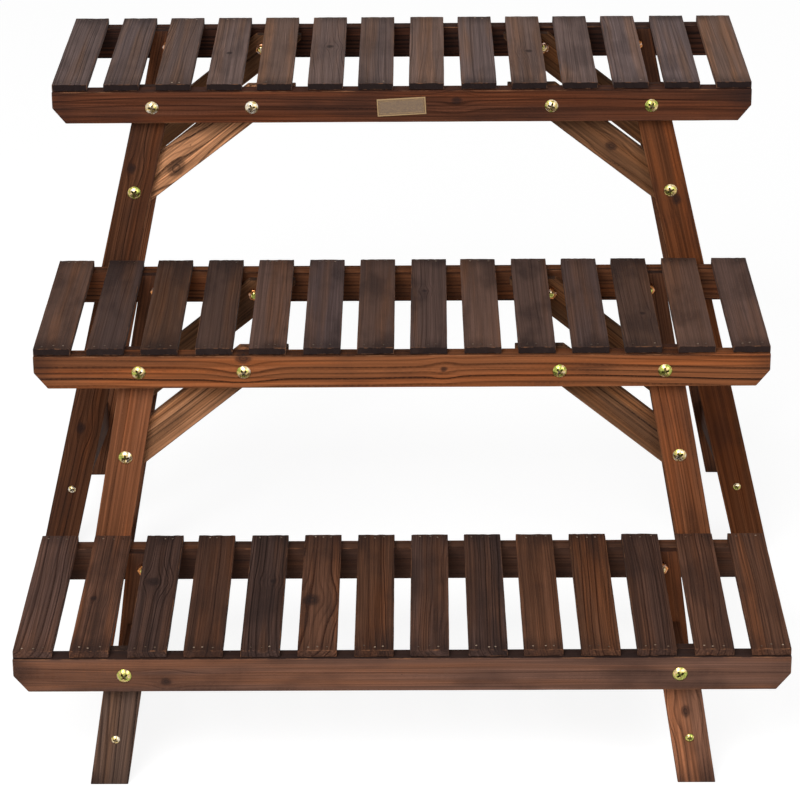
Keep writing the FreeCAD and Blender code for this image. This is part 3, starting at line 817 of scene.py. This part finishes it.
def turned(work, profile, segments):
    """Adds a turned shape to a bmesh: a profile of (radius, height) from its foot to its top."""
    angles = [2 * math.pi * i / segments for i in range(segments)]
    rings = [[work.verts.new((radius * math.cos(a), radius * math.sin(a), height)) for a in angles]
             for radius, height in profile]
    for lower, upper in zip(rings, rings[1:]):
        bridge(work, lower, upper)
    work.faces.new(rings[0][::-1])
    work.faces.new(rings[-1])


def with_shank(mesh, profile, segments):
    """Adds a turned shape to a mesh."""
    work = bmesh.new()
    work.from_mesh(mesh)
    turned(work, profile, segments)
    return as_mesh(mesh.name, work)


def recess(work, height, span, width, depth):
    """Adds a cross-shaped cutter that tapers down into a head."""
    for turn in (0, math.pi / 2):
        rings = []
        for level, long, wide in ((height - depth, 0.45, 0.7), (height + depth, 1.7, 1.3)):
            ring = []
            for sx, sy in CORNERS:
                place = Vector((sx * span / 2 * long, sy * width / 2 * wide, level))
                place.rotate(Euler((0, 0, turn)))
                ring.append(work.verts.new(place))
            rings.append(ring)
        lower, upper = rings
        work.faces.new(lower[::-1])
        work.faces.new(upper)
        bridge(work, lower, upper)


def cross_head(name, radius, height, rim, span, width, depth):
    """Round head on the origin, an arc over a plain rim, with a cross recess. Faces in the recess are marked deep, for
    painted shade.
    """
    ball = (radius ** 2 + (height - rim) ** 2) / (2 * (height - rim))
    reach = math.asin(radius / ball)
    arc = [reach * (1 - i / 6) for i in range(6)] + [reach * 0.06]
    curve = [(ball * math.sin(a), height - ball * (1 - math.cos(a))) for a in arc]
    work = bmesh.new()
    turned(work, [(radius * 0.97, 0.0), (radius, rim * 0.3)] + curve, 40)
    body = new_object(name, as_mesh(name, work))
    work = bmesh.new()
    recess(work, height, span, width, depth)
    tool = new_object(name + "_tool", as_mesh(name + "_tool", work))
    cut = body.modifiers.new("recess", "BOOLEAN")
    cut.object = tool
    cut.operation = "DIFFERENCE"
    cut.solver = "EXACT"
    cut.use_self = True
    cut_mesh = take_mesh(body)
    bpy.data.objects.remove(tool)
    work = bmesh.new()
    work.from_mesh(cut_mesh)
    bmesh.ops.remove_doubles(work, verts=work.verts, dist=0.005 * MM)
    bmesh.ops.dissolve_degenerate(work, edges=work.edges, dist=0.005 * MM)
    mesh = as_mesh(name, work)
    deep = mesh.attributes.new("deep", "FLOAT", "FACE")
    for face, mark_of_face in zip(mesh.polygons, deep.data):
        x, y, z = face.center
        skin = height - ball + math.sqrt(max(ball ** 2 - x * x - y * y, 0.0))
        mark_of_face.value = float(0.1 * MM < z < skin - 0.12 * MM and math.hypot(x, y) < radius * 0.8)
    return mesh


def bolt_mesh(name, shank):
    """Round-head bolt: underside on the origin's plane, threaded shank down the -Z axis."""
    metal = bpy.context.scene.plant_stand.metal
    pitch = metal.thread_pitch
    root = BOLT_RADIUS - 0.6 * pitch
    profile = [(root * 0.8, -shank)]
    height = -shank + 0.4 * MM
    while height < -pitch:
        profile += [(root, height), (BOLT_RADIUS, height + pitch * 0.35), (BOLT_RADIUS, height + pitch * 0.5),
                    (root, height + pitch * 0.85)]
        height += pitch
    head = cross_head(name, metal.head_radius, metal.head_height, *BOLT_HEAD)
    return with_shank(head, profile + [(BOLT_RADIUS, 0.0)], 20)


def nut_mesh(name):
    """Hexagon nut on the -Z side of the origin's plane, its outer corners turned off."""
    work = bmesh.new()
    flat = NUT_ACROSS_FLATS / 2
    count = 48
    rings = [[] for _ in range(5)]
    for i in range(count):
        a = 2 * math.pi * i / count
        offset = (a + math.pi / 6) % (math.pi / 3) - math.pi / 6
        radius = flat / math.cos(offset)
        drop = (radius - flat * 0.96) * math.tan(math.radians(30))
        levels = ((BOLT_RADIUS, 0.0), (radius, 0.0), (radius, -NUT_HEIGHT + drop), (flat * 0.96, -NUT_HEIGHT),
                  (BOLT_RADIUS, -NUT_HEIGHT))
        for ring, (reach, level) in zip(rings, levels):
            ring.append(work.verts.new((reach * math.cos(a), reach * math.sin(a), level)))
    for lower, upper in zip(rings, rings[1:] + rings[:1]):
        bridge(work, lower, upper)
    bmesh.ops.recalc_face_normals(work, faces=work.faces)
    return as_mesh(name, work)


def fastener_spots(node):
    """For each fastener of a node with one at each corner of a bench: face, middle in X and Z, and ends in Y."""
    low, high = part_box(node)
    middle = (low + high) / 2
    spots = []
    for face in FACES:
        for side in SIDES:
            own = [v.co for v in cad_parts[node].data.vertices
                   if (v.co.x < middle.x) == (side == "left") and (v.co.y < middle.y) == (face == "front")]
            (left, right), ends, (under, over) = [(min(values), max(values)) for values in zip(*own)]
            spots.append((face, (left + right) / 2, (under + over) / 2, ends))
    return spots


def board_face(bench, face, board, outer):
    """Y of a board's face on the outside or the inside of its bench."""
    board = "%s_%s_" + board
    low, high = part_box(board % (bench, face))
    return low.y if (face == "front") == outer else high.y


def set_fasteners(name, mesh, spots, material, slot, node, seed):
    """Copies a fastener to each (place, facing), spun at random, and shows them as one piece."""
    tree = bpy.data.node_groups.get("fastener set") or fastener_tree()
    mesh.shade_smooth()
    mesh.set_sharp_from_angle(angle=math.radians(32))
    source = new_object(name + "_pattern", mesh)
    result = grow(name, tree, [place for place, turn in spots], {"facing": [turn for place, turn in spots]},
                  {"Fastener": source, "Spin": 2 * math.pi, "Seed": seed, "Material": material})
    bpy.data.objects.remove(source)
    show(name, result, slot, node)


class PLANT_STAND_OT_bolts(bpy.types.Operator):
    """Makes the round-head bolts and their hexagon nuts"""

    bl_idname = "plant_stand.bolts"
    bl_label = "Bolts and nuts"
    bl_options = {"REGISTER", "UNDO"}

    def execute(self, context):
        metal = context.scene.plant_stand.metal
        material = yellow_zinc("yellow zinc plated steel", metal.zinc_green, metal.zinc_gold, metal.zinc_rose)
        # the nuts' copper tint is a painted reflection of the wood around them
        nuts_painted_reflection = yellow_zinc("yellow zinc plated steel, nuts", metal.nut_painted_reflection, metal.nut_painted_reflection, metal.zinc_rose)
        for order, bench in enumerate(BENCHES):
            nuts = []
            sets = BOLT_SETS if bench in BRACED_BENCHES else BOLT_SETS[:1]
            for step, (kind, head_board, nut_board) in enumerate(sets):
                node = "%s_%s" % (bench, kind)
                spots = []
                for face, x, z, ends in fastener_spots(node):
                    head = board_face(bench, face, head_board, outer=True)
                    spots.append(((x, head, z), FACING[face]))
                    nuts.append(((x, board_face(bench, face, nut_board, outer=False), z), FACING[face]))
                    shank = max(abs(y - head) for y in ends)
                set_fasteners(node + "_set", bolt_mesh(node, shank), spots, material, "yellow_zinc", node,
                              10 * order + step)
            set_fasteners(bench + "_nut_set", nut_mesh(bench + "_nut"), nuts, nuts_painted_reflection, "yellow_zinc", bench + "_nuts",
                          50 + order)
        return {"FINISHED"}


class PLANT_STAND_OT_screws(bpy.types.Operator):
    """Makes the screws that hold the stretchers"""

    bl_idname = "plant_stand.screws"
    bl_label = "Stretcher screws"
    bl_options = {"REGISTER", "UNDO"}

    def execute(self, context):
        metal = context.scene.plant_stand.metal
        material = bpy.data.materials["yellow zinc plated steel"]
        for order, bench in enumerate(BENCHES):
            node = bench + "_stretcher_screws"
            head = cross_head(node, metal.screw_head_radius, metal.screw_head_height, *SCREW_HEAD)
            spots = [((x, board_face(bench, face, "left_leg", outer=True), z), FACING[face])
                     for face, x, z, ends in fastener_spots(node)]
            set_fasteners(node + "_set", with_shank(head, SCREW_SHANK, 16), spots, material, "yellow_zinc", node,
                          70 + order)
        return {"FINISHED"}


class PLANT_STAND_OT_nails(bpy.types.Operator):
    """Makes the nails at the slats' ends"""

    bl_idname = "plant_stand.nails"
    bl_label = "Slat nails"
    bl_options = {"REGISTER", "UNDO"}

    def execute(self, context):
        settings = context.scene.plant_stand
        clean, sooted = bright_wire("drawn wire", 0.42), bright_wire("drawn wire, sooted", 0.3)
        radius = settings.metal.nail_head_radius
        profile = [(0.7 * MM, -20 * MM), (0.7 * MM, -0.5 * MM), (radius, -0.4 * MM), (radius, -0.1 * MM),
                   (radius * 0.7, 0.0)]
        mesh = with_shank(bpy.data.meshes.new("nail"), profile, 10)
        dice = random.Random(settings.board.seed)
        wander = settings.board.nail_drift
        for bench in BENCHES:
            node = bench + "_slat_nails"
            low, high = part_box(bench + "_slats")
            pitch = (high.x - low.x - SLAT_WIDTH) / (SLATS_PER_BENCH - 1)
            spots = []
            for i in range(SLATS_PER_BENCH):
                for near, far in (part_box(bench + "_front_rail"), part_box(bench + "_rear_rail")):
                    for step in (-1, 0, 1):
                        x = low.x + SLAT_WIDTH / 2 + i * pitch + step * NAIL_SPACING + dice.uniform(-wander, wander)
                        y = (near.y + far.y) / 2 + dice.uniform(-wander, wander)
                        spots.append(((x, y, high.z), NONE))
            material = clean if bench == "bottom" else sooted
            set_fasteners(node + "_set", mesh.copy(), spots, material, "nail_steel", node, 90)
        return {"FINISHED"}


class PLANT_STAND_OT_plate(bpy.types.Operator):
    """Makes the bare brass plate on the top bench's front rail"""

    bl_idname = "plant_stand.plate"
    bl_label = "Plate"
    bl_options = {"REGISTER", "UNDO"}

    def execute(self, context):
        border = context.scene.plant_stand.metal.plate_border
        outline, half_thick, matrix = board_frame("name_plate", 1)
        half_across, half_along = [max(values) for values in zip(*outline)]
        work = bmesh.new()
        raised = work.verts.layers.float.new("raised")
        low = -half_thick
        field = low + 0.4 * MM
        bead = low + 0.15 * MM
        steps = (
            # in from the plate's edge, height, and how brightly the metal is rubbed
            (0.0, half_thick, 1.0), (0.0, low + 0.3 * MM, 1.0), (0.3 * MM, low, 1.0), (border - 0.9 * MM, low, 1.0),
            (border - 0.6 * MM, field, 0.0), (border, field, 0.0), (border + 0.2 * MM, bead, 0.8),
            (border + 0.5 * MM, bead, 0.8), (border + 0.7 * MM, field, 0.0),
        )
        rings = []
        for inset, level, lift in steps:
            rings.append([work.verts.new((sx * (half_across - inset), level, sy * (half_along - inset)))
                          for sx, sy in CORNERS])
            for vertex in rings[-1]:
                vertex[raised] = lift
        for lower, upper in zip(rings, rings[1:]):
            bridge(work, lower, upper)
        work.faces.new(rings[0])
        work.faces.new(rings[-1])
        bmesh.ops.recalc_face_normals(work, faces=work.faces)
        mesh = as_mesh("brass_plate", work)
        mesh.transform(matrix)
        mesh.materials.append(stamped_brass())
        show("brass_plate", mesh, "plate_brass", "name_plate")
        return {"FINISHED"}


# ---- stage --------------------

def seen_rays(add):
    """1 for the rays by which the camera sees the floor or the sky, also mirrored or through glass; 0 for light."""
    path = add("ShaderNodeLightPath").outputs
    seen = path["Is Camera Ray"]
    for other in ("Is Glossy Ray", "Is Transmission Ray"):
        seen = add(MAXIMUM, seen, path[other])
    return seen


def studio_paper(shade):
    """Matt studio paper: pale grey in the light it throws back, near white with a faint shadow where it is seen."""
    material, shader, add = new_material("studio paper")
    matt = add("ShaderNodeBsdfDiffuse", (*shade, 1.0))
    faint = add("ShaderNodeBsdfDiffuse", (0.3, 0.3, 0.3, 1.0))
    lit = add("ShaderNodeEmission", WHITE, 0.87)
    white = add("ShaderNodeAddShader", faint, lit)
    mixed = add("ShaderNodeMixShader", seen_rays(add), matt, white)
    plug(shader.id_data.nodes["Material Output"], {"Surface": mixed})
    return material


class PLANT_STAND_OT_stage(bpy.types.Operator):
    """Makes the floor, the lamps and the camera"""

    bl_idname = "plant_stand.stage"
    bl_label = "Stage"
    bl_options = {"REGISTER", "UNDO"}

    def execute(self, context):
        scene = context.scene
        stage = scene.plant_stand.stage
        mesh = bpy.data.meshes.new("floor")
        reach = 12.0
        mesh.from_pydata([(x * reach, y * reach, 0) for x, y in CORNERS], [], [(0, 1, 2, 3)])
        mesh.materials.append(studio_paper(stage.floor))
        floor = new_object("floor", mesh)

        scene.world = bpy.data.worlds.new("studio")
        scene.world.use_nodes = True
        tree = scene.world.node_tree
        add = functools.partial(add_node, tree)
        sky = plug(tree.nodes["Background"], WHITE, stage.sky)
        white = add("ShaderNodeBackground", WHITE, 1.0)
        mixed = add("ShaderNodeMixShader", seen_rays(add), sky, white)
        plug(tree.nodes["World Output"], {"Surface": mixed})

        for name, power, size, place in (
            ("key", stage.key, 2.0, (-1.0, -3.0, 2.6)), ("fill", stage.fill, 1.8, (2.2, -2.6, 1.5))
        ):
            lamp = bpy.data.lights.new(name, "AREA")
            lamp.energy = power
            lamp.shape = "DISK"
            lamp.size = size
            holder = new_object(name, lamp)
            holder.location = place
            aim = Vector((0, 0, 0.25)) - Vector(place)
            holder.rotation_euler = aim.to_track_quat("-Z", "Y").to_euler()

        lens = bpy.data.cameras.new("camera")
        lens.lens = stage.lens
        lens.sensor_width = 36.0
        scene.camera = new_object("camera", lens)
        scene.camera.location = stage.camera_place
        scene.camera.rotation_euler = stage.camera_turn
        scene.view_settings.view_transform = "Standard"
        return {"FINISHED"}


# ---- add-on --------------------

OPERATORS = (
    PLANT_STAND_OT_rails, PLANT_STAND_OT_legs, PLANT_STAND_OT_braces, PLANT_STAND_OT_slats, PLANT_STAND_OT_bolts,
    PLANT_STAND_OT_screws, PLANT_STAND_OT_nails, PLANT_STAND_OT_plate, PLANT_STAND_OT_stage,
)


class PLANT_STAND_PT_panel(bpy.types.Panel):
    """Lists the steps that dress the stand"""

    bl_label = "Plant stand"
    bl_idname = "PLANT_STAND_PT_panel"
    bl_space_type = "VIEW_3D"
    bl_region_type = "UI"
    bl_category = "Plant stand"

    def draw(self, context):
        settings = context.scene.plant_stand
        for step in OPERATORS:
            self.layout.operator(step.bl_idname)
        for group in (settings.board, settings.wood, settings.metal, settings.stage):
            box = self.layout.box()
            for key in group.bl_rna.properties.keys():
                if key not in ("rna_type", "name"):
                    box.prop(group, key)


CLASSES = (BoardSettings, WoodSettings, MetalSettings, StageSettings, StandSettings, *OPERATORS, PLANT_STAND_PT_panel)


def register():
    for cls in CLASSES:
        bpy.utils.register_class(cls)
    bpy.types.Scene.plant_stand = bpy.props.PointerProperty(type=StandSettings)


def unregister():
    del bpy.types.Scene.plant_stand
    for cls in reversed(CLASSES):
        bpy.utils.unregister_class(cls)


def main():
    register()
    for step in OPERATORS:
        group, name = step.bl_idname.split(".")
        getattr(getattr(bpy.ops, group), name)()


if __name__ == "__main__":
    main()
